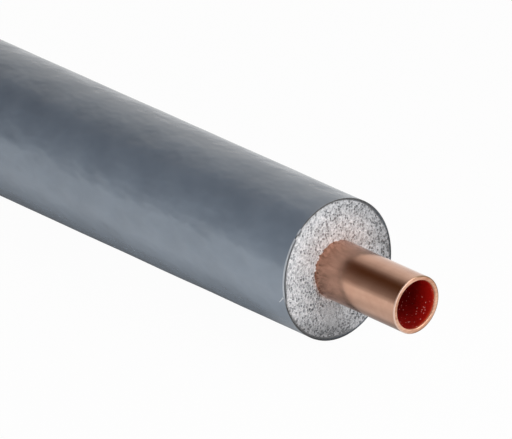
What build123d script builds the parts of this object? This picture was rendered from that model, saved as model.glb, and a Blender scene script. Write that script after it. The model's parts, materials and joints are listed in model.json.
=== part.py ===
"""A straight length of pre-insulated copper tube, lying on its side.

A drawn copper tube runs the whole length. Around it sits a sleeve of closed-cell foam, and around
the foam a thin plastic film. At one end the insulation is cut back to bare the copper for a fitting,
by hand and a little out of square. At the other end all three are sawn off flush.

Lengths are in millimetres and angles in degrees. +X runs along the tube towards the bare end, +Z is
up, and the origin is on the floor under the middle of the tube.
"""

import os

from build123d import *

# Driving dimensions
tube_diameter = 12.7
tube_wall = 1.0
tube_length = 1000.0
bare_length = 24.0
insulation_thickness = 9.0
film_thickness = 0.3
cut_lean = 4.2
inner_edge_break = 0.2
outer_edge_break = 0.1

# Radii, all on one axis, from the bore outwards
tube_radius = tube_diameter / 2
bore_radius = tube_radius - tube_wall
film_radius = tube_radius + insulation_thickness
foam_radius = film_radius - film_thickness

# Places along the axis, which lies as high as the film's radius so that the film rests on the floor
sawn_end = -tube_length / 2
bare_end = tube_length / 2
cut_place = bare_end - bare_length
axis_height = film_radius

# The sawn end is square to the axis. The hand cut crosses the axis at its place and leans back at the top.
along_tube = (1, 0, 0)
sideways = (0, 1, 0)
sawn_plane = Plane((sawn_end, 0, axis_height), x_dir=sideways, z_dir=along_tube)
hand_cut = Plane((cut_place, 0, axis_height), x_dir=sideways, z_dir=along_tube).rotated((0, -cut_lean, 0))


def edge_rings(piece):
    """The round edges of a piece in groups of one radius, the smallest first."""
    return piece.edges().filter_by(GeomType.CIRCLE).group_by(SortBy.RADIUS)


# The tube: a ring drawn out to the full length, then deburred inside and out at both ends
with BuildPart() as copper_tube:
    with BuildSketch(sawn_plane):
        Circle(tube_radius)
        Circle(bore_radius, mode=Mode.SUBTRACT)
    extrude(amount=tube_length)
    chamfer(edge_rings(copper_tube)[0], inner_edge_break)
    chamfer(edge_rings(copper_tube)[-1], outer_edge_break)
copper_tube.part.label = "copper_tube"


# The foam: grips the tube from the sawn end to the hand cut
with BuildPart() as foam_insulation:
    with BuildSketch(sawn_plane):
        Circle(foam_radius)
        Circle(tube_radius, mode=Mode.SUBTRACT)
    extrude(amount=tube_length)
    split(bisect_by=hand_cut, keep=Keep.BOTTOM)
foam_insulation.part.label = "foam_insulation"


# The film: a thin skin on the foam, cut through in the same strokes
with BuildPart() as film_jacket:
    with BuildSketch(sawn_plane):
        Circle(film_radius)
        Circle(foam_radius, mode=Mode.SUBTRACT)
    extrude(amount=tube_length)
    split(bisect_by=hand_cut, keep=Keep.BOTTOM)
film_jacket.part.label = "film_jacket"


os.makedirs("parts", exist_ok=True)
for piece in (copper_tube, foam_insulation, film_jacket):
    export_step(piece.part, f"parts/{piece.part.label}.step")
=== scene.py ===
"""Looks of a straight length of pre-insulated copper tube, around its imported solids.

A drawn copper tube stands out of a sleeve of closed-cell foam, and a thin slate-grey film covers the
foam. Each of the three pieces stands for its plain solid. Lengths are in metres, +X runs along the tube
towards the bare end, and the film rests on the floor.
"""

import json
import math

import bmesh
import bpy
from bpy.props import FloatProperty, FloatVectorProperty, IntProperty, PointerProperty
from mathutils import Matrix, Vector, noise


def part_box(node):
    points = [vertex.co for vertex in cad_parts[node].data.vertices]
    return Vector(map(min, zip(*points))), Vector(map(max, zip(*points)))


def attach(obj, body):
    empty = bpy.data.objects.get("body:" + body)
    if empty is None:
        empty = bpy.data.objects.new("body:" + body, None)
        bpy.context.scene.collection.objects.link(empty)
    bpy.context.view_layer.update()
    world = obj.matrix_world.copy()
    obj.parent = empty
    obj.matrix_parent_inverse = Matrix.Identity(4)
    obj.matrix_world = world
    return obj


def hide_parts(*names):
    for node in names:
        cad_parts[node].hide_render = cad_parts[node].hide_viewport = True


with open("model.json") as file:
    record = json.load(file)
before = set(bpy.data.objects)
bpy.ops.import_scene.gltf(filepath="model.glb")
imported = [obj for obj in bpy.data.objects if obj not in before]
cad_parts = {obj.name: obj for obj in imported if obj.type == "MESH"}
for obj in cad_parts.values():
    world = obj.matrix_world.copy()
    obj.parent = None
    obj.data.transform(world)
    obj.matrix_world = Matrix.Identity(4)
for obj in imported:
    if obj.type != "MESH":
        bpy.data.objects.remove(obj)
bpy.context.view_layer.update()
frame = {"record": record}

bl_info = {
    "name": "Insulated copper tube",
    "version": (1, 0, 0),
    "blender": (4, 5, 0),
    "location": "View3D > Sidebar > Insulated tube",
    "description": "Builds a straight pre-insulated copper tube and its studio",
    "category": "Add Mesh",
}

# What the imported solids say
MM = 0.001
MOUNTS = {mount["name"]: mount for mount in frame["record"]["mounts"]}
BORE_MM = MOUNTS["tube_bore"]["dims"]
TUBE_MM = MOUNTS["bare_tube_end"]["dims"]
FILM_MM = MOUNTS["insulation_outside"]["dims"]
AXIS_POINT = Vector(MOUNTS["tube_bore"]["pos_m"])
SAWN_END_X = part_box("copper_tube")[0].x
BARE_END_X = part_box("copper_tube")[1].x

# Points nearer than this are in the same place, and a normal with more of X than this is an end's
SLACK = 0.02 * MM
END_SHARE = 0.9

# Faces that meet at less than this angle are shaded as one surface
SMOOTH_ANGLE = math.radians(40)

# Copper: widths of its patterns, how proud the bumps stand, and the scales that draw patterns out
STREAK_WIDTH = 2.4 * MM
STREAK_HEIGHT = 0.05 * MM
STREAK_SCALE = (0.04, 1, 1)
STREAK_SHARE = 0.6
BLOOM_WIDTH = 6 * MM
SCUFF_WIDTH = 1.3 * MM
SCUFF_SCALE = (0.3, 1, 1)
SPECK_SPACING = 0.8 * MM
SAW_MARK_WIDTH = 0.5 * MM
SAW_MARK_HEIGHT = 0.03 * MM
SAW_MARK_SCALE = (1, 0.2, 1)
SAW_SLANT = (0.6, 0, 0)
# Painted highlights and shade round the lips: how many lighter places, where the first stands, and how
# strong
LIP_LIGHT_LOBES = 3.0
LIP_LIGHT_TURN = math.radians(-150)
LIP_LIGHT_SHARE = 0.2

# Copper: where each finish starts and where it is full. The first two are measured from the tube's ends,
# then one from the bore's wall, one from the foam and one from the tube's outside, and the rest sideways
# or up from the axis.
LIP_START, LIP_FULL = 0.4 * MM, 0.1 * MM
MOUTH_START, MOUTH_FULL = 1.0 * MM, 0.2 * MM
OXIDE_START, OXIDE_FULL = 0.1 * MM, 0.04 * MM
STRIPPED_START, STRIPPED_FULL = 13 * MM, 6 * MM
EDGE_START, EDGE_FULL = 0.34 * MM, 0.15 * MM
BURR_START, BURR_FULL = -2 * MM, 0.5 * MM
# The scraped edge is rougher, and its brightness is a painted highlight on the lips' outer edge at -Y
SCRAPED_HIGHLIGHT_START, SCRAPED_HIGHLIGHT_FULL = -1 * MM, -3.5 * MM
SPECKS_FEW, SPECKS_MANY = 4 * MM, -4 * MM

# Copper: what each of these adds to its roughness
STRIPPED_ROUGHNESS = 0.075
BORE_ROUGHNESS = 0.3
LIP_ROUGHNESS = 0.16
SCRAPED_ROUGHNESS = 0.3

# Foam: its grain, how far and how thickly copper was rubbed and dusted onto it, and the heights between
# which the dust comes
GRAIN_WIDTH = 0.4 * MM
GRAIN_HEIGHT = 0.08 * MM
GRAIN_SHARE = 0.6
RUBBED_WIDTH = 1.0 * MM
RUBBED_SHARE = 0.32
DUSTED_WIDTH = 8 * MM
DUSTED_SHARE = 0.24
DUST_START, DUST_FULL = -1 * MM, 6 * MM

# Foam cells: how far they stray, over how many cells and from which seed, the width of a wall, how much of
# a cell lies under the cut where it is grazed and where it is whole, and the roughness of its floor. Lengths
# are in cells, and depths, here and below, are shares of the cell depth.
CELL_SEED = 1
CELL_DRIFT = 0.35
DRIFT_CELLS = 3
WALL_CELLS = 0.25
GRAZED_CELLS, WHOLE_CELLS = -0.4, 0.6
GRAZED_DEPTH = 0.2
ROUGH_CELLS = 0.3
ROUGH_DEPTH = 0.12

# Foam's face: cells pressed flat by the blade, cut coarser near the film with painted shade there, most
# towards +Y, in the rim's painted shade below, and shallow in a band along the edges. The pairs are
# distances, radii or angles between which each comes or goes.
PRESSED_FULL, PRESSED_END = 2 * MM, 5.5 * MM
PRESSED_LOSS = 0.5
PRESSED_DEPTH = 0.14
COARSE_SHADE_START, COARSE_SHADE_FULL = 9 * MM, 14 * MM
COARSE_SHADE_DEPTH = 0.12
COARSE_SHADE_SWING = 0.22
SHADED_START, SHADED_FULL = 11 * MM, 13.5 * MM
SHADED_NEAR, SHADED_FAR = math.radians(12), math.radians(45)
SHADED_DEPTH = 0.3
EDGE_BAND = 1.0 * MM
EDGE_DEPTH = 0.25

# Foam's hand cut: tears at the copper, each with its share of the torn depth and its spacing, and how the
# cut meets the film, with a painted shadow line along the film that is darkest in the gap behind the loose
# rim and faint where the cut is tight. It is tight where the cosine of the angle from the tight place is
# high.
TORN_WIDTH = 0.8 * MM
TEARS = ((1.2, 1.2 * MM), (0.6, 0.5 * MM))
TIGHT_START, TIGHT_FULL = 0.35, 0.75
TIGHT_SHARE = 0.85
CROWN_START = 10.5 * MM
CROWN_LOSS = 0.8
DRAWN_WIDTH = 1.2 * MM
GAP_SHADE_START, GAP_SHADE_FULL = 0.35 * MM, 0.1 * MM
GAP_SHADE_DEPTH = 1.2
FILM_SHADE_START, FILM_SHADE_FULL = 0.5 * MM, 0.1 * MM

# Film: its clouds, and how far from the cut painted light pales it towards the cut end
CLOUD_WIDTH = 5.5 * MM
CLOUD_HEIGHT = 0.55 * MM
CLOUD_SCALE = (0.75, 1, 1)
CLOUD_SHARE = 0.5
LIT_START, LIT_FULL = 85 * MM, 5 * MM

# Film's rim: shares of its length in which it is drawn out, the last one for its edge with a painted
# highlight, and the angles over which it comes loose and holds again
RIM_STEPS = (0.4, 0.3, 0.2, 0.1)
RIM_NICK = math.radians(2)
RIM_FADE = math.radians(12)

# Film's sliver: cuts across it, how much it narrows, its slant, and its thickness and how deep it sits,
# as shares of the film's thickness and of its own
SLIVER_CUTS = 6
SLIVER_TAPER = 0.5
SLIVER_SLANT = 0.7
SLIVER_THICKNESS = 0.5
SLIVER_SINK = 0.2

# Floor: its width, how white it is to the camera, and where the tube's shadow lies in reflections, aside
# of the axis beside the film and ahead of the foam's face, and along the tube from that face
FLOOR_WIDTH = 120.0
FLOOR_GLOW = 0.97
SHADOW_FULL, SHADOW_END = 6 * MM, 28 * MM
SHADOW_AHEAD_FULL, SHADOW_AHEAD_END = 3 * MM, 11 * MM
AHEAD_START, AHEAD_FULL = -16 * MM, 3 * MM

# Room: directions, as shares of Y or Z, from which it turns pale behind, low in front and at the horizon,
# how steeply it does so in front, and how much the horizon adds
BEHIND_START, BEHIND_FULL = -0.25, 0.62
FRONT_TOP = 0.68
FRONT_FALL = 1.3
HORIZON_TOP = 0.26
HORIZON_SHARE = 0.22

# Lamps: which way each stands from what it lights
FRONT_LAMP_WAY = Vector((0.18, -0.98, 0.1))
TOP_LAMP_WAY = Vector((0.82, 0.12, 0.56))
END_LAMP_WAY = Vector((-0.63, -0.63, 0.45))

# The photograph's frame, where its picture has the middle of the foam's face, and the camera's sensor and
# how far it sees
IMAGE_WIDTH_PX = 512
IMAGE_HEIGHT_PX = 439
FACE_CENTRE_PX = (337.5, 269.4)
SENSOR_WIDTH_MM = 36.0
CAMERA_REACH = 200.0


def linear(code):
    """The linear colour of an sRGB hex value."""
    shares = [int(code[i : i + 2], 16) / 255 for i in (1, 3, 5)]
    return [s / 12.92 if s <= 0.04045 else ((s + 0.055) / 1.055) ** 2.4 for s in shares] + [1.0]


def size(name, description, millimetres):
    """A length that a user can change."""
    metres = millimetres * MM
    return FloatProperty(
        name=name, description=description, default=metres, unit="LENGTH", subtype="DISTANCE", precision=5
    )


def turn(name, description, degrees):
    """An angle that a user can change."""
    return FloatProperty(
        name=name, description=description, default=math.radians(degrees), unit="ROTATION", subtype="ANGLE"
    )


def colour(name, description, code):
    """A colour that a user can change."""
    return FloatVectorProperty(
        name=name, description=description, default=linear(code), size=4, subtype="COLOR", min=0.0, max=1.0
    )


def level(name, description, default):
    """A plain number that a user can change."""
    return FloatProperty(name=name, description=description, default=default, precision=3)


def count(name, description, default):
    """A whole number that a user can change."""
    return IntProperty(name=name, description=description, default=default)


class TubeSizes(bpy.types.PropertyGroup):
    """Sizes of the copper tube, its foam and its film. Places are angles from the side towards the top"""

    bore_radius: size("Bore radius", "Inside radius of the copper tube", BORE_MM["r_mm"])
    tube_radius: size("Tube radius", "Outside radius of the copper tube", TUBE_MM["r_mm"])
    film_radius: size("Film radius", "Outside radius of the film", FILM_MM["r_mm"])
    film_thickness: size("Film thickness", "Thickness of the film", 0.3)
    bare_length: size("Bare length", "Copper that stands out of the foam", TUBE_MM["length_mm"])
    cut_lean: turn("Cut lean", "How far the hand cut leans back at the top", 4.2)
    lip_length: size("Lip length", "Length of tube that belongs to each sawn lip", 0.6)
    outer_break: size("Outer edge break", "Rounding of the tube's outer edges", 0.14)
    inner_break: size("Inner edge break", "Rounding of the bore's edges", 0.24)
    cell_size: size("Cell size", "Spacing of the foam's cells", 0.62)
    cell_depth: size("Cell depth", "How deep the deepest cut cells are", 0.35)
    pressed_place: turn("Pressed place", "Where the blade pressed the cells flat", 262.0)
    pressed_radius: size("Pressed radius", "How far that place is from the axis", 10.0)
    # The coarse and shaded places set where painted shade darkens the foam's outer ring
    coarse_shade_place: turn("Coarse place", "Where the blade cut the cells near the film coarsest", -10.0)
    shaded_place: turn("Shaded place", "Where the cells near the film are darkest", 250.0)
    tight_place: turn("Tight place", "Where the foam's face keeps up with the film", -30.0)
    foam_crown: size("Foam crown", "How far the foam's face falls back at the film", 0.45)
    torn_depth: size("Torn depth", "How ragged the foam is where it meets the copper", 0.4)
    film_wave: size("Film wave", "How far the film dips between its high places", 0.13)
    film_wave_length: size("Film wave length", "Spacing of the film's dips", 16.0)
    rim_gap: size("Rim gap", "How far the foam draws back from the film's loose rim", 0.4)
    rim_length: size("Rim length", "Length of film that bends at the loose rim", 3.0)
    rim_reach: size("Rim reach", "How far the loose rim stands past the foam", 0.05)
    rim_start: turn("Rim start", "Where the loose rim starts", 137.0)
    rim_end: turn("Rim end", "Where the loose rim ends", 197.0)
    strand_start: turn("Strand start", "Where a short loose strand of the rim starts", 128.0)
    strand_end: turn("Strand end", "Where that strand ends", 135.5)
    sliver_place: turn("Sliver place", "Where a torn sliver hangs from the rim", 186.5)
    sliver_length: size("Sliver length", "How far the sliver reaches back along the film", 1.5)
    sliver_drop: size("Sliver drop", "How far the sliver hangs down round the film", 1.6)
    sliver_width: size("Sliver width", "Width of the sliver at the rim", 0.34)
    tube_sides: count("Tube sides", "Sides round the copper tube", 160)
    lip_segments: count("Lip segments", "Steps across each rounded edge of the tube", 4)
    foam_sides: count("Foam sides", "Sides round the foam", 640)
    cut_rings: count("Cut rings", "Rings across the foam's hand-cut face", 100)
    sawn_rings: count("Sawn rings", "Rings across the foam's sawn end", 50)
    film_sides: count("Film sides", "Sides round the film", 240)
    film_rings: count("Film rings", "Rings along the outside of the film", 330)


class TubeColours(bpy.types.PropertyGroup):
    """Colours of the three materials and the floor"""

    copper: colour("Copper", "Satin outside of the drawn tube", "#CEA690")
    copper_tarnish: colour("Tarnish", "Brown bloom on the copper", "#BC927D")
    copper_stripped: colour("Stripped copper", "Browner copper where the foam was pulled off", "#CEA089")
    copper_cut: colour("Cut copper", "Bright metal of the sawn ends", "#FFCDB0")
    copper_cut_dull: colour("Cut copper, dull", "Duller metal between the saw marks", "#CE9578")
    copper_burr: colour("Burr", "Brown line on the outer edge of the ends where the saw left", "#8A7156")
    copper_edge_highlight: colour("Lip edge", "Bright edge of the ends where the saw came in", "#FCDFCE")
    # The lip edge colour is a painted highlight
    copper_bore: colour("Bore", "Red oxide inside the bore", "#940E08")
    # The bore mouth colour is painted light on the oxide near the opening
    copper_mouth_light: colour("Bore mouth", "Orange edge of the bore's oxide", "#D2552F")
    copper_speck: colour("Bore speck", "Bright grains in the bore's oxide", "#DC918C")
    foam_wall: colour("Foam wall", "Cell walls of the foam", "#E9EAED")
    # The foam body and foam pore colours are painted shade on the slopes and floors of the cut cells
    foam_slope_shade: colour("Foam body", "Slopes of the foam's cells", "#BCBFC3")
    foam_pore_shade: colour("Foam pore", "Floors of the foam's cut cells", "#75787B")
    foam_rubbed: colour("Foam, rubbed", "Foam rubbed with copper beside the tube", "#C9A796")
    film: colour("Film", "Slate-grey film", "#4C5865")
    film_pale: colour("Film, pale", "Paler clouds and handled end of the film", "#5C6875")
    # The cut edge's dark colour is partly the film's own and partly painted shade
    film_cut_shade: colour("Film, cut", "Cut edge of the film", "#1D1D1C")
    # The frayed colour is a painted highlight on the loose rim's edge
    film_highlight: colour("Film, frayed", "Stretched and whitened edge of the loose rim", "#8F969D")
    floor: colour("Floor", "Studio floor", "#D0D0D0")


class StageSettings(bpy.types.PropertyGroup):
    """Camera and light of the studio"""

    azimuth: turn("Azimuth", "Where the camera stands round the tube, from straight in front", 47.52)
    elevation: turn("Elevation", "How far the camera looks down", 24.33)
    distance: size("Distance", "From the camera to the foam's face", 2498.0)
    lens: level("Lens", "Focal length in millimetres on a sensor 36 mm wide", 843.75)
    front_power: level("Front lamp", "Watts of the wide soft lamp low in front", 6.5)
    front_distance: size("Front lamp's distance", "From that lamp to the foam's face", 800.0)
    front_width: size("Front lamp's width", "Width of that lamp", 600.0)
    front_height: size("Front lamp's height", "Height of that lamp", 160.0)
    top_power: level("Top lamp", "Watts of the soft lamp above the bare end", 0.36)
    top_distance: size("Top lamp's distance", "From that lamp to the foam's face", 250.0)
    top_width: size("Top lamp's width", "Side of that lamp", 220.0)
    end_power: level("End lamp", "Watts of the soft lamp beyond the sawn end", 1.8)
    end_distance: size("End lamp's distance", "From that lamp to the sawn end", 550.0)
    end_width: size("End lamp's width", "Side of that lamp", 250.0)
    backdrop: colour("Backdrop", "Pale wall behind the tube", "#FAFAFA")
    ceiling: colour("Ceiling", "Dark warm room above the tube", "#593F2C")
    front_share: level("Front share", "How pale the room is low in front, as a share of the backdrop", 0.52)


def add_node(tree, kind, inputs=None, **settings):
    """Adds a shader node with its settings, sets or links its inputs, and gives its outputs.

    Sockets go by name or number. A mix takes its share at 0. Colours go in at 6 and 7 and come out at 2,
    numbers go in at 2 and 3 and come out at 0."""
    node = tree.nodes.new("ShaderNode" + kind)
    for key, value in settings.items():
        setattr(node, key, value)
    for key, value in (inputs or {}).items():
        if isinstance(value, bpy.types.NodeSocket):
            tree.links.new(value, node.inputs[key])
        else:
            node.inputs[key].default_value = value
    return node.outputs


def empty_tree(owner):
    """The node tree of a material or a world, with nothing in it."""
    owner.use_nodes = True
    owner.node_tree.nodes.clear()
    return owner.node_tree


def pick(piece, kind, test):
    """Selects, in edit mode, just those vertices, edges or faces of a piece that pass a test."""
    bpy.ops.mesh.select_mode(type=kind)
    bpy.ops.mesh.select_all(action="DESELECT")
    shape = bmesh.from_edit_mesh(piece.data)
    items = {"VERT": shape.verts, "EDGE": shape.edges, "FACE": shape.faces}[kind]
    for item in items:
        if test(item):
            item.select_set(True)
    shape.select_flush_mode()
    bmesh.update_edit_mesh(piece.data)


def off_axis(point):
    """Distance of a point from the tube's axis."""
    return math.hypot(point.y - AXIS_POINT.y, point.z - AXIS_POINT.z)


def round_axis(point):
    """Angle of a point round the tube's axis, from +Y towards the top and on, in one whole turn."""
    return math.atan2(point.z - AXIS_POINT.z, point.y - AXIS_POINT.y) % math.tau


def smooth_step(low, high, value):
    """0 below low, 1 above high, and an even curve between."""
    share = min(max((value - low) / (high - low), 0.0), 1.0)
    return share * share * (3 - 2 * share)


def cut_place(sizes):
    """Where the hand cut crosses the axis."""
    return BARE_END_X - sizes.bare_length


def loose_share(sizes, point):
    """1 where the film's rim or its short strand has come off the foam, and 0 where they hold together."""
    angle = round_axis(point)
    rim = smooth_step(sizes.rim_start, sizes.rim_start + RIM_NICK, angle)
    rim *= 1 - smooth_step(sizes.rim_end - RIM_FADE, sizes.rim_end, angle)
    strand = smooth_step(sizes.strand_start, sizes.strand_start + RIM_NICK, angle)
    strand *= 1 - smooth_step(sizes.strand_end - RIM_NICK, sizes.strand_end, angle)
    return max(rim, strand)


def add_hollow(name, radius, wall, start, end, sides):
    """A tube of that wall along the axis: a cylinder, inset at both ends and bridged through."""
    bpy.ops.object.select_all(action="DESELECT")
    middle = ((start + end) / 2, AXIS_POINT.y, AXIS_POINT.z)
    bpy.ops.mesh.primitive_cylinder_add(
        vertices=sides, radius=radius, depth=end - start, location=middle, rotation=(0, math.radians(90), 0)
    )
    piece = bpy.context.active_object
    piece.name = piece.data.name = name
    bpy.ops.object.transform_apply()
    bpy.ops.object.mode_set(mode="EDIT")
    pick(piece, "FACE", lambda face: abs(face.normal.x) > END_SHARE)
    bpy.ops.mesh.inset(thickness=wall)
    bpy.ops.mesh.bridge_edge_loops()
    return piece


def ring_edges(place, radius):
    """A test for the edges of one ring round the axis."""
    def test(edge):
        points = [v.co for v in edge.verts]
        return all(abs(p.x - place) < SLACK and abs(off_axis(p) - radius) < SLACK for p in points)
    return test


def spoke_edges(place):
    """A test for the edges that run outwards across one end."""
    def test(edge):
        a, b = (v.co for v in edge.verts)
        flat = abs(a.x - place) < SLACK and abs(b.x - place) < SLACK
        return flat and abs(off_axis(a) - off_axis(b)) > SLACK
    return test


def finish_piece(piece, node, material):
    """Smooths a piece, gives it its material and hands it to the frame in place of a node."""
    bpy.ops.object.mode_set(mode="EDIT")
    bpy.ops.mesh.select_all(action="SELECT")
    bpy.ops.mesh.normals_make_consistent(inside=False)
    bpy.ops.object.mode_set(mode="OBJECT")
    bpy.ops.object.shade_smooth_by_angle(angle=SMOOTH_ANGLE)
    piece.data.materials.clear()
    piece.data.materials.append(material)
    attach(piece, "root")
    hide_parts(node)


def new_material(name):
    """A material with a plain shader, its tree, that shader, and object coordinates from the axis."""
    material = bpy.data.materials.new(name)
    tree = empty_tree(material)
    surface = add_node(tree, "BsdfPrincipled")[0]
    add_node(tree, "OutputMaterial", {"Surface": surface})
    place = add_node(tree, "TexCoord")["Object"]
    centred = add_node(tree, "Mapping", {"Vector": place, "Location": -AXIS_POINT})[0]
    return material, tree, surface.node, centred


def from_axis(tree, centred):
    """The X, Y and Z of a surface's points from the axis, and their distance from it."""
    parts = add_node(tree, "SeparateXYZ", {0: centred})
    across = add_node(tree, "CombineXYZ", {"Y": parts["Y"], "Z": parts["Z"]})[0]
    radius = add_node(tree, "VectorMath", {0: across}, operation="LENGTH")["Value"]
    return parts, radius


def copper_outside(tree, sizes, colours, centred, parts):
    """Streaks from drawing, a cloudy bloom, and scuffs where the foam was cut and pulled off.

    Gives the outside's colour, its roughness and its streaks."""
    lengthwise = add_node(tree, "Mapping", {"Vector": centred, "Scale": STREAK_SCALE})[0]
    streak = add_node(tree, "TexNoise", {"Vector": lengthwise, "Scale": 1 / STREAK_WIDTH, "Detail": 2.0})[0]
    bloom = add_node(
        tree, "TexNoise", {"Vector": centred, "Scale": 1 / BLOOM_WIDTH, "Detail": 3.0, "Roughness": 0.6}
    )[0]
    cloudy = add_node(tree, "Math", {0: streak, 1: STREAK_SHARE, 2: bloom}, operation="MULTIPLY_ADD")[0]
    tarnish = add_node(tree, "MapRange", {"Value": cloudy, "From Min": 0.6, "From Max": 1.05})[0]
    cut_x = cut_place(sizes)
    stripped = add_node(
        tree, "MapRange",
        {"Value": parts["X"], "From Min": cut_x + STRIPPED_START, "From Max": cut_x + STRIPPED_FULL},
    )[0]
    pulled = add_node(tree, "Mapping", {"Vector": centred, "Scale": SCUFF_SCALE})[0]
    stroke = add_node(tree, "TexNoise", {"Vector": pulled, "Scale": 1 / SCUFF_WIDTH, "Detail": 1.0})[0]
    scratch = add_node(tree, "MapRange", {"Value": stroke, "From Min": 0.55, "From Max": 0.75})[0]
    scuff = add_node(tree, "Math", {0: scratch, 1: stripped}, operation="MULTIPLY")[0]
    bloomed = (tarnish, colours.copper_tarnish)
    browned = (stripped, colours.copper_stripped)
    scuffed = (scuff, colours.copper_tarnish)
    outside = colours.copper
    for share, over in (bloomed, browned, scuffed):
        outside = add_node(tree, "Mix", {0: share, 6: outside, 7: over}, data_type="RGBA")[2]
    satin = add_node(
        tree, "MapRange",
        {"Value": cloudy, "From Min": 0.5, "From Max": 1.1, "To Min": 0.12, "To Max": 0.19},
    )[0]
    worn = add_node(
        tree, "Math", {0: stripped, 1: STRIPPED_ROUGHNESS, 2: satin}, operation="MULTIPLY_ADD"
    )[0]
    return outside, worn, streak


def copper_bore(tree, colours, centred, parts, ends):
    """The bore's colour: matt red oxide, turned orange near its mouth by painted light, with bright grains
    mostly at the bottom.
    """
    grain = add_node(tree, "TexVoronoi", {"Vector": centred, "Scale": 1 / SPECK_SPACING})
    near = add_node(tree, "MapRange", {"Value": grain["Distance"], "From Min": 0.24, "From Max": 0.1})[0]
    settled = add_node(
        tree, "MapRange",
        {
            "Value": parts["Z"], "From Min": SPECKS_FEW, "From Max": SPECKS_MANY,
            "To Min": 0.25, "To Max": 0.85,
        },
    )[0]
    chosen = add_node(tree, "Math", {0: grain["Color"], 1: settled}, operation="LESS_THAN")[0]
    speck = add_node(tree, "Math", {0: near, 1: chosen}, operation="MULTIPLY")[0]
    # Painted light on the oxide near the mouth, where light falls into the bore
    mouth_from = BARE_END_X - MOUTH_START
    mouth_to = BARE_END_X - MOUTH_FULL
    mouth = add_node(
        tree, "MapRange", {"Value": ends, "From Min": mouth_from, "From Max": mouth_to, "To Max": 0.6}
    )[0]
    oxide = colours.copper_bore
    for share, over in ((mouth, colours.copper_mouth_light), (speck, colours.copper_speck)):
        oxide = add_node(tree, "Mix", {0: share, 6: oxide, 7: over}, data_type="RGBA")[2]
    return oxide


def copper_lips(tree, sizes, colours, centred, parts, radius):
    """Bright metal with saw marks across, lighter and duller in turn three times round with painted
    highlights and shade, brown where the saw left the edge, and a painted highlight on the outer edge at the
    front (-Y).

    Gives the lips' colour, what they add to the roughness, and the saw marks."""
    sawn = add_node(tree, "Mapping", {"Vector": centred, "Rotation": SAW_SLANT, "Scale": SAW_MARK_SCALE})[0]
    mark = add_node(tree, "TexNoise", {"Vector": sawn, "Scale": 1 / SAW_MARK_WIDTH, "Detail": 2.0})[0]
    # Lighter and duller in turn three times round the lips: painted highlights and shade, added to the saw
    # marks
    around = add_node(tree, "Math", {0: parts["Z"], 1: parts["Y"]}, operation="ARCTAN2")[0]
    light_lobe_turn = add_node(
        tree, "Math", {0: around, 1: LIP_LIGHT_LOBES, 2: LIP_LIGHT_TURN}, operation="MULTIPLY_ADD"
    )[0]
    light_lobes = add_node(tree, "Math", {0: light_lobe_turn}, operation="COSINE")[0]
    uneven = add_node(tree, "Math", {0: light_lobes, 1: LIP_LIGHT_SHARE, 2: mark}, operation="MULTIPLY_ADD")[0]
    dull = add_node(tree, "MapRange", {"Value": uneven, "From Min": 0.2, "From Max": 0.75})[0]
    edge_from = sizes.tube_radius - EDGE_START
    edge_to = sizes.tube_radius - EDGE_FULL
    outer = add_node(tree, "MapRange", {"Value": radius, "From Min": edge_from, "From Max": edge_to})[0]
    leaving = add_node(
        tree, "MapRange",
        {"Value": parts["Y"], "From Min": BURR_START, "From Max": BURR_FULL, "To Max": 0.85},
    )[0]
    burr = add_node(tree, "Math", {0: outer, 1: leaving}, operation="MULTIPLY")[0]
    # Painted highlight on the outer edge at -Y, where the edge is also rougher
    highlight_side = add_node(
        tree, "MapRange", {"Value": parts["Y"], "From Min": SCRAPED_HIGHLIGHT_START, "From Max": SCRAPED_HIGHLIGHT_FULL}
    )[0]
    scraped_highlight = add_node(tree, "Math", {0: outer, 1: highlight_side}, operation="MULTIPLY")[0]
    dulled = (dull, colours.copper_cut_dull)
    face = colours.copper_cut
    for share, over in (dulled, (burr, colours.copper_burr), (scraped_highlight, colours.copper_edge_highlight)):
        face = add_node(tree, "Mix", {0: share, 6: face, 7: over}, data_type="RGBA")[2]
    coarse = add_node(
        tree, "Math", {0: scraped_highlight, 1: SCRAPED_ROUGHNESS, 2: LIP_ROUGHNESS}, operation="MULTIPLY_ADD"
    )[0]
    return face, coarse, mark


def copper_material(sizes, colours):
    """Drawn copper, satin: soft lengthwise streaks, a brown bloom with a few scuffs by the foam, saw-marked
    lips and a bore red with oxide."""
    material, tree, shader, centred = new_material("copper_drawn_satin")
    parts, radius = from_axis(tree, centred)
    ends = add_node(tree, "Math", {0: parts["X"]}, operation="ABSOLUTE")[0]
    lip = add_node(
        tree, "MapRange",
        {"Value": ends, "From Min": BARE_END_X - LIP_START, "From Max": BARE_END_X - LIP_FULL},
    )[0]
    oxide_from = sizes.bore_radius + OXIDE_START
    oxide_to = sizes.bore_radius + OXIDE_FULL
    bore = add_node(tree, "MapRange", {"Value": radius, "From Min": oxide_from, "From Max": oxide_to})[0]
    inside = add_node(tree, "Math", {0: bore, 1: lip}, operation="SUBTRACT", use_clamp=True)[0]
    outside, worn, streak = copper_outside(tree, sizes, colours, centred, parts)
    oxide = copper_bore(tree, colours, centred, parts, ends)
    sawn_face, coarse, mark = copper_lips(tree, sizes, colours, centred, parts, radius)

    walls = add_node(tree, "Mix", {0: inside, 6: outside, 7: oxide}, data_type="RGBA")[2]
    base = add_node(tree, "Mix", {0: lip, 6: walls, 7: sawn_face}, data_type="RGBA")[2]
    metal = add_node(tree, "Math", {0: 1.0, 1: inside}, operation="SUBTRACT")[0]
    rough = add_node(tree, "Math", {0: inside, 1: BORE_ROUGHNESS, 2: worn}, operation="MULTIPLY_ADD")[0]
    rough = add_node(tree, "Math", {0: lip, 1: coarse, 2: rough}, operation="MULTIPLY_ADD")[0]
    drawn = add_node(tree, "Bump", {"Height": streak, "Strength": 1.0, "Distance": STREAK_HEIGHT})[0]
    bump = add_node(
        tree, "Bump", {"Height": mark, "Strength": lip, "Distance": SAW_MARK_HEIGHT, "Normal": drawn}
    )[0]
    for key, value in {"Base Color": base, "Metallic": metal, "Roughness": rough, "Normal": bump}.items():
        tree.links.new(value, shader.inputs[key])
    return material


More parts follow.
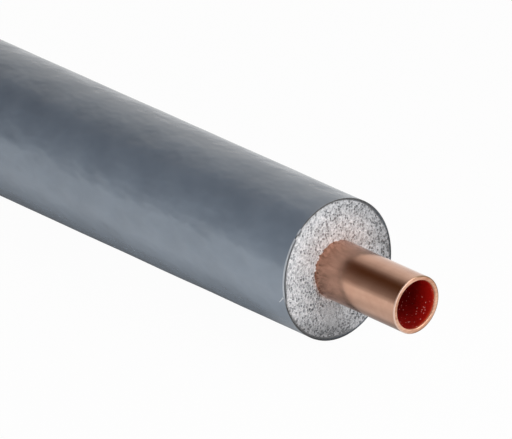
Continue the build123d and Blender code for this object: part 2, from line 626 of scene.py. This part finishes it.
def foam_material(sizes, colours):
    """Closed-cell polyethylene foam, knife-cut: pale matt cell walls, with painted shade darkening the
    slopes and floors of the cut cells, rubbed with copper where the knife ran round the tube and dusted with
    it above."""
    material, tree, shader, centred = new_material("polyethylene_foam_cut")
    cup = add_node(tree, "Attribute", attribute_name="cup")["Fac"]
    grain = add_node(tree, "TexNoise", {"Vector": centred, "Scale": 1 / GRAIN_WIDTH, "Detail": 2.0})[0]
    mixed = add_node(tree, "Math", {0: grain, 1: GRAIN_SHARE, 2: cup}, operation="MULTIPLY_ADD")[0]
    # Painted shade: the deeper a point of a cut cell lies, the darker its colour
    slope_shade = add_node(tree, "MapRange", {"Value": mixed, "From Min": 0.2, "From Max": 0.55})[0]
    deep = add_node(tree, "MapRange", {"Value": mixed, "From Min": 0.6, "From Max": 1.2})[0]
    parts, radius = from_axis(tree, centred)
    tube_radius = sizes.tube_radius
    rubbed, dusted = (
        add_node(
            tree, "MapRange",
            {"Value": radius, "From Min": tube_radius + width, "From Max": tube_radius, "To Max": most},
            interpolation_type="SMOOTHSTEP",
        )[0]
        for width, most in ((RUBBED_WIDTH, RUBBED_SHARE), (DUSTED_WIDTH, DUSTED_SHARE))
    )
    above = add_node(
        tree, "MapRange", {"Value": parts["Z"], "From Min": DUST_START, "From Max": DUST_FULL}
    )[0]
    dust = add_node(tree, "Math", {0: dusted, 1: above}, operation="MULTIPLY")[0]
    coppery = add_node(tree, "Math", {0: rubbed, 1: dust}, operation="MAXIMUM")[0]
    base = colours.foam_wall
    layers = ((slope_shade, colours.foam_slope_shade), (deep, colours.foam_pore_shade), (coppery, colours.foam_rubbed))
    for share, over in layers:
        base = add_node(tree, "Mix", {0: share, 6: base, 7: over}, data_type="RGBA")[2]
    bump = add_node(tree, "Bump", {"Height": grain, "Strength": 0.4, "Distance": GRAIN_HEIGHT})[0]
    for key, value in {"Base Color": base, "Normal": bump}.items():
        tree.links.new(value, shader.inputs[key])
    shader.inputs["Roughness"].default_value = 0.7
    shader.inputs["IOR"].default_value = 1.5
    return material


def film_material(sizes, colours):
    """Polyethylene film, extruded: slate grey with a semi-gloss skin, faintly clouded, a little paler
    towards the cut end with painted light, dark on its cut edge, partly with painted shade, and with a
    painted highlight on its loose rim."""
    material, tree, shader, centred = new_material("polyethylene_film_extruded")
    lengthwise = add_node(tree, "Mapping", {"Vector": centred, "Scale": CLOUD_SCALE})[0]
    cloud = add_node(
        tree, "TexNoise", {"Vector": lengthwise, "Scale": 1 / CLOUD_WIDTH, "Detail": 2.0, "Roughness": 0.5}
    )[0]
    share = add_node(
        tree, "MapRange", {"Value": cloud, "From Min": 0.25, "From Max": 0.75},
        interpolation_type="SMOOTHSTEP",
    )[0]
    parts = add_node(tree, "SeparateXYZ", {0: centred})
    # Painted light that pales the film towards the cut end
    lit_from = cut_place(sizes) - LIT_START
    lit_to = cut_place(sizes) - LIT_FULL
    lit = add_node(
        tree, "MapRange",
        {
            "Value": parts["X"], "From Min": lit_from, "From Max": lit_to,
            "To Min": 0.05, "To Max": 0.5,
        },
    )[0]
    share = add_node(tree, "Math", {0: share, 1: CLOUD_SHARE, 2: lit}, operation="MULTIPLY_ADD")[0]
    skin = add_node(tree, "Mix", {0: share, 6: colours.film, 7: colours.film_pale}, data_type="RGBA")[2]
    loose = add_node(tree, "Attribute", attribute_name="loose")["Fac"]
    edge = add_node(tree, "Attribute", attribute_name="edge")["Fac"]
    # Cut edges dark, partly with painted shade, and the loose rim's edge with a painted highlight
    cut = add_node(
        tree, "Mix", {0: loose, 6: colours.film_cut_shade, 7: colours.film_highlight}, data_type="RGBA"
    )[2]
    base = add_node(tree, "Mix", {0: edge, 6: skin, 7: cut}, data_type="RGBA")[2]
    rough = add_node(
        tree, "MapRange", {"Value": cloud, "From Min": 0.3, "From Max": 0.7, "To Min": 0.2, "To Max": 0.255}
    )[0]
    bump = add_node(tree, "Bump", {"Height": cloud, "Strength": 1.0, "Distance": CLOUD_HEIGHT})[0]
    for key, value in {"Base Color": base, "Roughness": rough, "Normal": bump}.items():
        tree.links.new(value, shader.inputs[key])
    shader.inputs["IOR"].default_value = 1.54
    shader.inputs["Specular IOR Level"].default_value = 1.0
    shader.inputs["Coat Weight"].default_value = 0.14
    shader.inputs["Coat Roughness"].default_value = 0.2
    shader.inputs["Coat IOR"].default_value = 1.6
    return material


class TUBE_OT_copper(bpy.types.Operator):
    """Makes the copper tube, open from end to end, with rounded sawn lips"""

    bl_idname = "insulated_tube.copper"
    bl_label = "Copper tube"

    def execute(self, context):
        sizes = context.scene.tube_sizes
        wall = sizes.tube_radius - sizes.bore_radius
        lip = sizes.lip_length
        first_x = SAWN_END_X + lip
        last_x = BARE_END_X - lip
        piece = add_hollow("copper_tube_drawn", sizes.tube_radius, wall, first_x, last_x, sizes.tube_sides)
        breaks = ((sizes.tube_radius, sizes.outer_break), (sizes.bore_radius, sizes.inner_break))
        for end, outwards in ((SAWN_END_X, -1), (BARE_END_X, 1)):
            pick(piece, "FACE", lambda face: face.normal.x * outwards > END_SHARE)
            bpy.ops.mesh.extrude_region_move(TRANSFORM_OT_translate={"value": (outwards * lip, 0, 0)})
            for radius, offset in breaks:
                pick(piece, "EDGE", ring_edges(end, radius))
                bpy.ops.mesh.bevel(offset=offset, segments=sizes.lip_segments, affect="EDGES")
        finish_piece(piece, "copper_tube", copper_material(sizes, context.scene.tube_colours))
        return {"FINISHED"}


class TUBE_OT_foam(bpy.types.Operator):
    """Makes the foam sleeve, with open cells on its two cut ends"""

    bl_idname = "insulated_tube.foam"
    bl_label = "Foam sleeve"

    def execute(self, context):
        sizes = context.scene.tube_sizes
        outer = sizes.film_radius - sizes.film_thickness
        wall = outer - sizes.tube_radius
        cut_x = cut_place(sizes)
        piece = add_hollow("foam_sleeve", outer, wall, SAWN_END_X, cut_x, sizes.foam_sides)
        for end, rings in ((SAWN_END_X, sizes.sawn_rings), (cut_x, sizes.cut_rings)):
            pick(piece, "EDGE", spoke_edges(end))
            bpy.ops.mesh.subdivide_edgering(number_cuts=rings, interpolation="LINEAR")
        bpy.ops.object.mode_set(mode="OBJECT")
        # The cup attribute holds each cut cell's depth, which the foam's material paints as shade, and the
        # painted shadow along the film
        cups = piece.data.attributes.new("cup", "FLOAT", "POINT")
        noise.seed_set(CELL_SEED)
        for vertex in piece.data.vertices:
            hand_cut = abs(vertex.co.x - cut_x) < SLACK
            inwards = -1 if hand_cut else 1
            if hand_cut or abs(vertex.co.x - SAWN_END_X) < SLACK:
                cups.data[vertex.index].value = self.open_cell(vertex.co, sizes, outer, inwards)
            # Adds the painted shadow line along the film, which darkens the colour only
            if hand_cut:
                cups.data[vertex.index].value += self.hand_cut(vertex.co, sizes, outer)
        finish_piece(piece, "foam_insulation", foam_material(sizes, context.scene.tube_colours))
        return {"FINISHED"}

    def cell_cup(self, place, sizes, inwards):
        """How deep a cell's cup is at a point of the cut, deeper where more of the cell lies under it."""
        cell_place = place / sizes.cell_size
        cell_place += CELL_DRIFT * noise.noise_vector(place / (DRIFT_CELLS * sizes.cell_size))
        reaches, nuclei = noise.voronoi(cell_place)
        under = (nuclei[0].x - cell_place.x) * inwards
        depth = GRAZED_DEPTH + (1 - GRAZED_DEPTH) * smooth_step(GRAZED_CELLS, WHOLE_CELLS, under)
        return smooth_step(0.0, WALL_CELLS, reaches[1] - reaches[0]) * depth

    def open_cell(self, place, sizes, outer, inwards):
        """Sinks a point of a cut face into its cell's cup, and gives how deep it is there, which the foam's
        material also paints as shade.
        """
        reach = off_axis(place)
        angle = round_axis(place)
        cup = self.cell_cup(place, sizes, inwards)
        aside = sizes.pressed_radius * (angle - sizes.pressed_place)
        spread = math.hypot(reach - sizes.pressed_radius, aside)
        pressed = 1 - smooth_step(PRESSED_FULL, PRESSED_END, spread)
        cup = (1 - PRESSED_LOSS * pressed) * cup + PRESSED_DEPTH * pressed
        cup += ROUGH_DEPTH * noise.noise(place / (ROUGH_CELLS * sizes.cell_size))
        # Deeper, darker cups near the film, most towards +Y: partly coarser cells, partly painted shade
        # where the face falls away
        coarse = COARSE_SHADE_DEPTH + COARSE_SHADE_SWING * math.cos(angle - sizes.coarse_shade_place)
        cup += coarse * smooth_step(COARSE_SHADE_START, COARSE_SHADE_FULL, reach)
        # Painted shade in the outer ring below, a little towards -Y, which also deepens the cups there
        shaded = 1 - smooth_step(SHADED_NEAR, SHADED_FAR, abs(angle - sizes.shaded_place))
        cup += SHADED_DEPTH * shaded * smooth_step(SHADED_START, SHADED_FULL, reach)
        inner = smooth_step(0.0, EDGE_BAND, min(reach - sizes.tube_radius, outer - reach))
        place.x += inwards * sizes.cell_depth * max(cup, 0.0) * (EDGE_DEPTH + (1 - EDGE_DEPTH) * inner)
        return cup

    def hand_cut(self, place, sizes, outer):
        """Leans the cut back at the top, tears it at the copper, lets it fall back at the film, and draws it
        in where the film is loose. Gives the painted shadow line along the film, darkest in the gap behind
        the loose rim."""
        reach = off_axis(place)
        loose = loose_share(sizes, place)
        torn = 1 - smooth_step(0.0, TORN_WIDTH, reach - sizes.tube_radius)
        tear = sum(share * noise.noise(place / spacing) for share, spacing in TEARS)
        place.x += torn * sizes.torn_depth * tear
        facing = math.cos(round_axis(place) - sizes.tight_place)
        held = max(loose, TIGHT_SHARE * smooth_step(TIGHT_START, TIGHT_FULL, facing))
        crown = sizes.foam_crown * (1 - CROWN_LOSS * held)
        place.x -= crown * max(0.0, (reach - CROWN_START) / (outer - CROWN_START)) ** 2
        place.x -= math.tan(sizes.cut_lean) * (place.z - AXIS_POINT.z)
        drawn_in = sizes.rim_gap * loose * smooth_step(outer - DRAWN_WIDTH, outer, reach)
        place.y -= (place.y - AXIS_POINT.y) * drawn_in / reach
        place.z -= (place.z - AXIS_POINT.z) * drawn_in / reach
        # Painted shadow along the film: darkest in the gap behind the loose rim, faint where the cut is
        # tight
        gap = GAP_SHADE_DEPTH * loose * smooth_step(outer - GAP_SHADE_START, outer - GAP_SHADE_FULL, reach)
        return gap + (1 - held) * smooth_step(outer - FILM_SHADE_START, outer - FILM_SHADE_FULL, reach)


class TUBE_OT_film(bpy.types.Operator):
    """Makes the thin film round the foam, gently wavy, with a rim that has come off the foam on one side"""

    bl_idname = "insulated_tube.film"
    bl_label = "Film jacket"

    def execute(self, context):
        sizes = context.scene.tube_sizes
        cut_x = cut_place(sizes)
        bend_x = cut_x - sizes.rim_length
        piece = add_hollow(
            "film_jacket_skin", sizes.film_radius, sizes.film_thickness, SAWN_END_X, bend_x, sizes.film_sides
        )
        pick(piece, "EDGE", self.outer_lengths(sizes))
        bpy.ops.mesh.subdivide_edgering(number_cuts=sizes.film_rings, interpolation="LINEAR")
        pick(piece, "FACE", lambda face: face.normal.x > END_SHARE)
        for share in RIM_STEPS:
            step = (share * sizes.rim_length, 0, 0)
            bpy.ops.mesh.extrude_region_move(TRANSFORM_OT_translate={"value": step})
        bpy.ops.object.mode_set(mode="OBJECT")
        self.ripple(piece, sizes)
        self.mark_edges(piece, sizes, cut_x)
        self.bend_rim(piece, sizes, bend_x, cut_x)
        self.add_sliver(piece, sizes, cut_x)
        finish_piece(piece, "film_jacket", film_material(sizes, context.scene.tube_colours))
        return {"FINISHED"}

    def outer_lengths(self, sizes):
        """A test for the long edges of the film's outside."""
        middle = sizes.film_radius - sizes.film_thickness / 2

        def test(edge):
            a, b = (v.co for v in edge.verts)
            return abs(a.x - b.x) > sizes.rim_length and off_axis(a) > middle
        return test

    def ripple(self, piece, sizes):
        """Lets the outside of the film dip a little, never outwards, so that it stays on the floor."""
        skin = piece.vertex_groups.new(name="outside")
        middle = sizes.film_radius - sizes.film_thickness / 2
        skin.add([v.index for v in piece.data.vertices if off_axis(v.co) > middle], 1.0, "REPLACE")
        clouds = bpy.data.textures.new("film_ripple", "CLOUDS")
        clouds.noise_scale = sizes.film_wave_length
        clouds.noise_depth = 1
        dip = piece.modifiers.new("ripple", "DISPLACE")
        dip.texture = clouds
        dip.texture_coords = "LOCAL"
        dip.strength = sizes.film_wave
        dip.mid_level = 1.0
        dip.vertex_group = skin.name
        bpy.ops.object.modifier_apply(modifier=dip.name)

    def mark_edges(self, piece, sizes, cut_x):
        """Marks the cut edges, and how far the loose rim has its painted highlight, for the film's material.
        """
        edge = piece.data.attributes.new("edge", "FLOAT", "FACE")
        loose = piece.data.attributes.new("loose", "FLOAT", "FACE")
        highlight_from = cut_x - RIM_STEPS[-1] * sizes.rim_length
        for face in piece.data.polygons:
            highlighted = loose_share(sizes, face.center) if face.center.x > highlight_from else 0.0
            edge.data[face.index].value = 1.0 if abs(face.normal.x) > END_SHARE else highlighted
            loose.data[face.index].value = highlighted

    def bend_rim(self, piece, sizes, bend_x, cut_x):
        """Leans the cut end back at the top, like the foam's, and moves the loose rim past the foam."""
        for vertex in piece.data.vertices:
            along = smooth_step(bend_x, cut_x, vertex.co.x)
            lean = math.tan(sizes.cut_lean) * (vertex.co.z - AXIS_POINT.z)
            vertex.co.x += along * (sizes.rim_reach * loose_share(sizes, vertex.co) - lean)

    def add_sliver(self, piece, sizes, cut_x):
        """Joins on a short torn sliver that hangs from the loose rim, back along the film and down."""
        bpy.ops.object.select_all(action="DESELECT")
        bpy.ops.mesh.primitive_cube_add(size=1.0)
        sliver = bpy.context.active_object
        bpy.ops.object.mode_set(mode="EDIT")
        bpy.ops.mesh.select_all(action="SELECT")
        bpy.ops.mesh.subdivide(number_cuts=SLIVER_CUTS)
        bpy.ops.object.mode_set(mode="OBJECT")
        thickness = SLIVER_THICKNESS * sizes.film_thickness
        for vertex in sliver.data.vertices:
            along = 0.5 - vertex.co.x
            aside = vertex.co.y * sizes.sliver_width * (1 - SLIVER_TAPER * along)
            down = along * sizes.sliver_drop + SLIVER_SLANT * aside
            angle = sizes.sliver_place + down / sizes.film_radius
            reach = sizes.film_radius + thickness * (vertex.co.z - SLIVER_SINK)
            vertex.co.x = cut_x - along * sizes.sliver_length + SLIVER_SLANT * aside
            vertex.co.y = AXIS_POINT.y + reach * math.cos(angle)
            vertex.co.z = AXIS_POINT.z + reach * math.sin(angle)
        # The whole sliver takes the loose rim's painted highlight
        for name in ("edge", "loose"):
            white = sliver.data.attributes.new(name, "FLOAT", "FACE")
            white.data.foreach_set("value", [1.0] * len(sliver.data.polygons))
        piece.select_set(True)
        bpy.context.view_layer.objects.active = piece
        bpy.ops.object.join()


class TUBE_OT_stage(bpy.types.Operator):
    """Sets up the pale floor, the soft studio light and the camera"""

    bl_idname = "insulated_tube.stage"
    bl_label = "Studio"

    def execute(self, context):
        scene = context.scene
        stage = scene.tube_stage
        face = Vector((cut_place(scene.tube_sizes), AXIS_POINT.y, AXIS_POINT.z))
        sawn_end = Vector((SAWN_END_X, AXIS_POINT.y, AXIS_POINT.z))
        self.floor(scene.tube_colours, face)
        self.world(scene, stage)
        front = FRONT_LAMP_WAY * stage.front_distance
        above = TOP_LAMP_WAY * stage.top_distance
        beyond = END_LAMP_WAY * stage.end_distance
        front_sides = (stage.front_width, stage.front_height)
        top_sides = (stage.top_width, stage.top_width)
        end_sides = (stage.end_width, stage.end_width)
        self.lamp(scene, "front_lamp", face, front, front_sides, stage.front_power)
        self.lamp(scene, "top_lamp", face, above, top_sides, stage.top_power, shows=True)
        self.lamp(scene, "end_lamp", sawn_end, beyond, end_sides, stage.end_power)
        self.camera(scene, stage, face)
        scene.view_settings.view_transform = "Standard"
        return {"FINISHED"}

    def floor(self, colours, face):
        """A wide pale floor, white to the camera and in reflections, that still takes the tube's shadow."""
        bpy.ops.object.select_all(action="DESELECT")
        bpy.ops.mesh.primitive_plane_add(size=FLOOR_WIDTH)
        floor = bpy.context.active_object
        floor.name = "studio_floor"
        material = bpy.data.materials.new("studio_floor_paper")
        tree = empty_tree(material)
        paper = add_node(tree, "BsdfDiffuse", {"Color": colours.floor})[0]
        clear = self.shadow_free(tree, face)
        path = add_node(tree, "LightPath")
        bounced = add_node(
            tree, "Math", {0: path["Is Glossy Ray"], 1: path["Is Transmission Ray"]}, operation="MAXIMUM"
        )[0]
        direct = add_node(tree, "Math", {0: path["Is Camera Ray"], 1: FLOOR_GLOW}, operation="MULTIPLY")[0]
        share = add_node(tree, "Math", {0: direct, 1: bounced}, operation="MAXIMUM")[0]
        glow = add_node(tree, "Math", {0: path["Is Camera Ray"], 1: clear}, operation="MAXIMUM")[0]
        white = add_node(tree, "Emission", {"Color": (1, 1, 1, 1), "Strength": glow})[0]
        mixed = add_node(tree, "MixShader", {0: share, 1: paper, 2: white})[0]
        add_node(tree, "OutputMaterial", {"Surface": mixed})
        floor.data.materials.append(material)

    def shadow_free(self, tree, face):
        """How clear of the tube's shadow the floor is in reflections, narrower ahead of the foam's face."""
        place = add_node(tree, "TexCoord")["Object"]
        parts = add_node(tree, "SeparateXYZ", {0: place})
        aside = add_node(tree, "Math", {0: parts["Y"]}, operation="ABSOLUTE")[0]
        beside = add_node(
            tree, "MapRange",
            {"Value": aside, "From Min": SHADOW_FULL, "From Max": SHADOW_END, "To Min": 0.15, "To Max": 1.0},
            interpolation_type="SMOOTHSTEP",
        )[0]
        before = add_node(
            tree, "MapRange",
            {
                "Value": aside, "From Min": SHADOW_AHEAD_FULL, "From Max": SHADOW_AHEAD_END,
                "To Min": 0.4, "To Max": 0.8,
            },
            interpolation_type="SMOOTHSTEP",
        )[0]
        ahead = add_node(
            tree, "MapRange",
            {"Value": parts["X"], "From Min": face.x + AHEAD_START, "From Max": face.x + AHEAD_FULL},
        )[0]
        return add_node(tree, "Mix", {0: ahead, 2: beside, 3: before})[0]

    def world(self, scene, stage):
        """Pale behind the tube, half as pale low in front and a little paler at the horizon, with a dark
        warm ceiling between. To the camera it is white."""
        scene.world = bpy.data.worlds.new("studio_world")
        tree = empty_tree(scene.world)
        towards = add_node(tree, "TexCoord")["Generated"]
        parts = add_node(tree, "SeparateXYZ", {0: towards})
        behind = add_node(
            tree, "MapRange",
            {"Value": parts["Y"], "From Min": BEHIND_START, "From Max": BEHIND_FULL},
            interpolation_type="SMOOTHSTEP",
        )[0]
        low = add_node(tree, "MapRange", {"Value": parts["Z"], "From Min": FRONT_TOP, "From Max": 0.0})[0]
        low = add_node(tree, "Math", {0: low, 1: FRONT_FALL}, operation="POWER")[0]
        horizon = add_node(
            tree, "MapRange",
            {"Value": parts["Z"], "From Min": HORIZON_TOP, "From Max": 0.0, "To Max": HORIZON_SHARE},
            interpolation_type="SMOOTHSTEP",
        )[0]
        front = add_node(
            tree, "Math", {0: low, 1: stage.front_share, 2: horizon}, operation="MULTIPLY_ADD"
        )[0]
        pale = add_node(tree, "Math", {0: behind, 1: front}, operation="MAXIMUM")[0]
        glow = add_node(tree, "Mix", {0: pale, 6: stage.ceiling, 7: stage.backdrop}, data_type="RGBA")[2]
        studio = add_node(tree, "Background", {"Color": glow, "Strength": 1.0})[0]
        white = add_node(tree, "Background", {"Color": (1, 1, 1, 1), "Strength": 1.0})[0]
        path = add_node(tree, "LightPath")
        mixed = add_node(tree, "MixShader", {0: path["Is Camera Ray"], 1: studio, 2: white})[0]
        add_node(tree, "OutputWorld", {"Surface": mixed})

    def lamp(self, scene, name, target, aside, sides, power, shows=False):
        """A soft lamp that stands aside of its target and faces it, in reflections only if it shows."""
        data = bpy.data.lights.new(name, "AREA")
        data.shape = "RECTANGLE"
        data.size, data.size_y = sides
        data.energy = power
        lamp = bpy.data.objects.new(name, data)
        scene.collection.objects.link(lamp)
        lamp.location = target + aside
        lamp.rotation_euler = (-aside).to_track_quat("-Z", "Y").to_euler()
        lamp.visible_camera = False
        lamp.visible_glossy = shows

    def camera(self, scene, stage, face):
        """Stands the camera so that the foam's face falls where the photograph has it."""
        data = bpy.data.cameras.new("camera")
        data.sensor_width = SENSOR_WIDTH_MM
        data.lens = stage.lens
        data.clip_end = CAMERA_REACH
        camera = bpy.data.objects.new("camera", data)
        scene.collection.objects.link(camera)
        level_share = math.cos(stage.elevation)
        back = Vector(
            (
                math.sin(stage.azimuth) * level_share,
                -math.cos(stage.azimuth) * level_share,
                math.sin(stage.elevation),
            )
        )
        turned = (-back).to_track_quat("-Z", "Y")
        pixel = data.sensor_width / data.lens * stage.distance / IMAGE_WIDTH_PX
        right = (IMAGE_WIDTH_PX / 2 - FACE_CENTRE_PX[0]) * pixel
        up = (FACE_CENTRE_PX[1] - IMAGE_HEIGHT_PX / 2) * pixel
        camera.location = face + turned @ Vector((right, up, 0)) + back * stage.distance
        camera.rotation_euler = turned.to_euler()
        scene.camera = camera


class TUBE_PT_panel(bpy.types.Panel):
    """Lists the pieces of the tube and their settings"""

    bl_idname = "TUBE_PT_panel"
    bl_label = "Insulated tube"
    bl_space_type = "VIEW_3D"
    bl_region_type = "UI"
    bl_category = "Insulated tube"

    def draw(self, context):
        for operator in OPERATORS:
            self.layout.operator(operator.bl_idname)
        for group in GROUPS:
            settings = getattr(context.scene, group)
            box = self.layout.box()
            for name in settings.__annotations__:
                box.prop(settings, name)


GROUPS = {"tube_sizes": TubeSizes, "tube_colours": TubeColours, "tube_stage": StageSettings}
OPERATORS = (TUBE_OT_copper, TUBE_OT_foam, TUBE_OT_film, TUBE_OT_stage)
CLASSES = (*GROUPS.values(), *OPERATORS, TUBE_PT_panel)


def register():
    for cls in CLASSES:
        bpy.utils.register_class(cls)
    for name, group in GROUPS.items():
        setattr(bpy.types.Scene, name, PointerProperty(type=group))


def unregister():
    for name in GROUPS:
        delattr(bpy.types.Scene, name)
    for cls in reversed(CLASSES):
        bpy.utils.unregister_class(cls)


def main():
    register()
    bpy.ops.insulated_tube.copper()
    bpy.ops.insulated_tube.foam()
    bpy.ops.insulated_tube.film()
    bpy.ops.insulated_tube.stage()


if __name__ == "__main__":
    main()
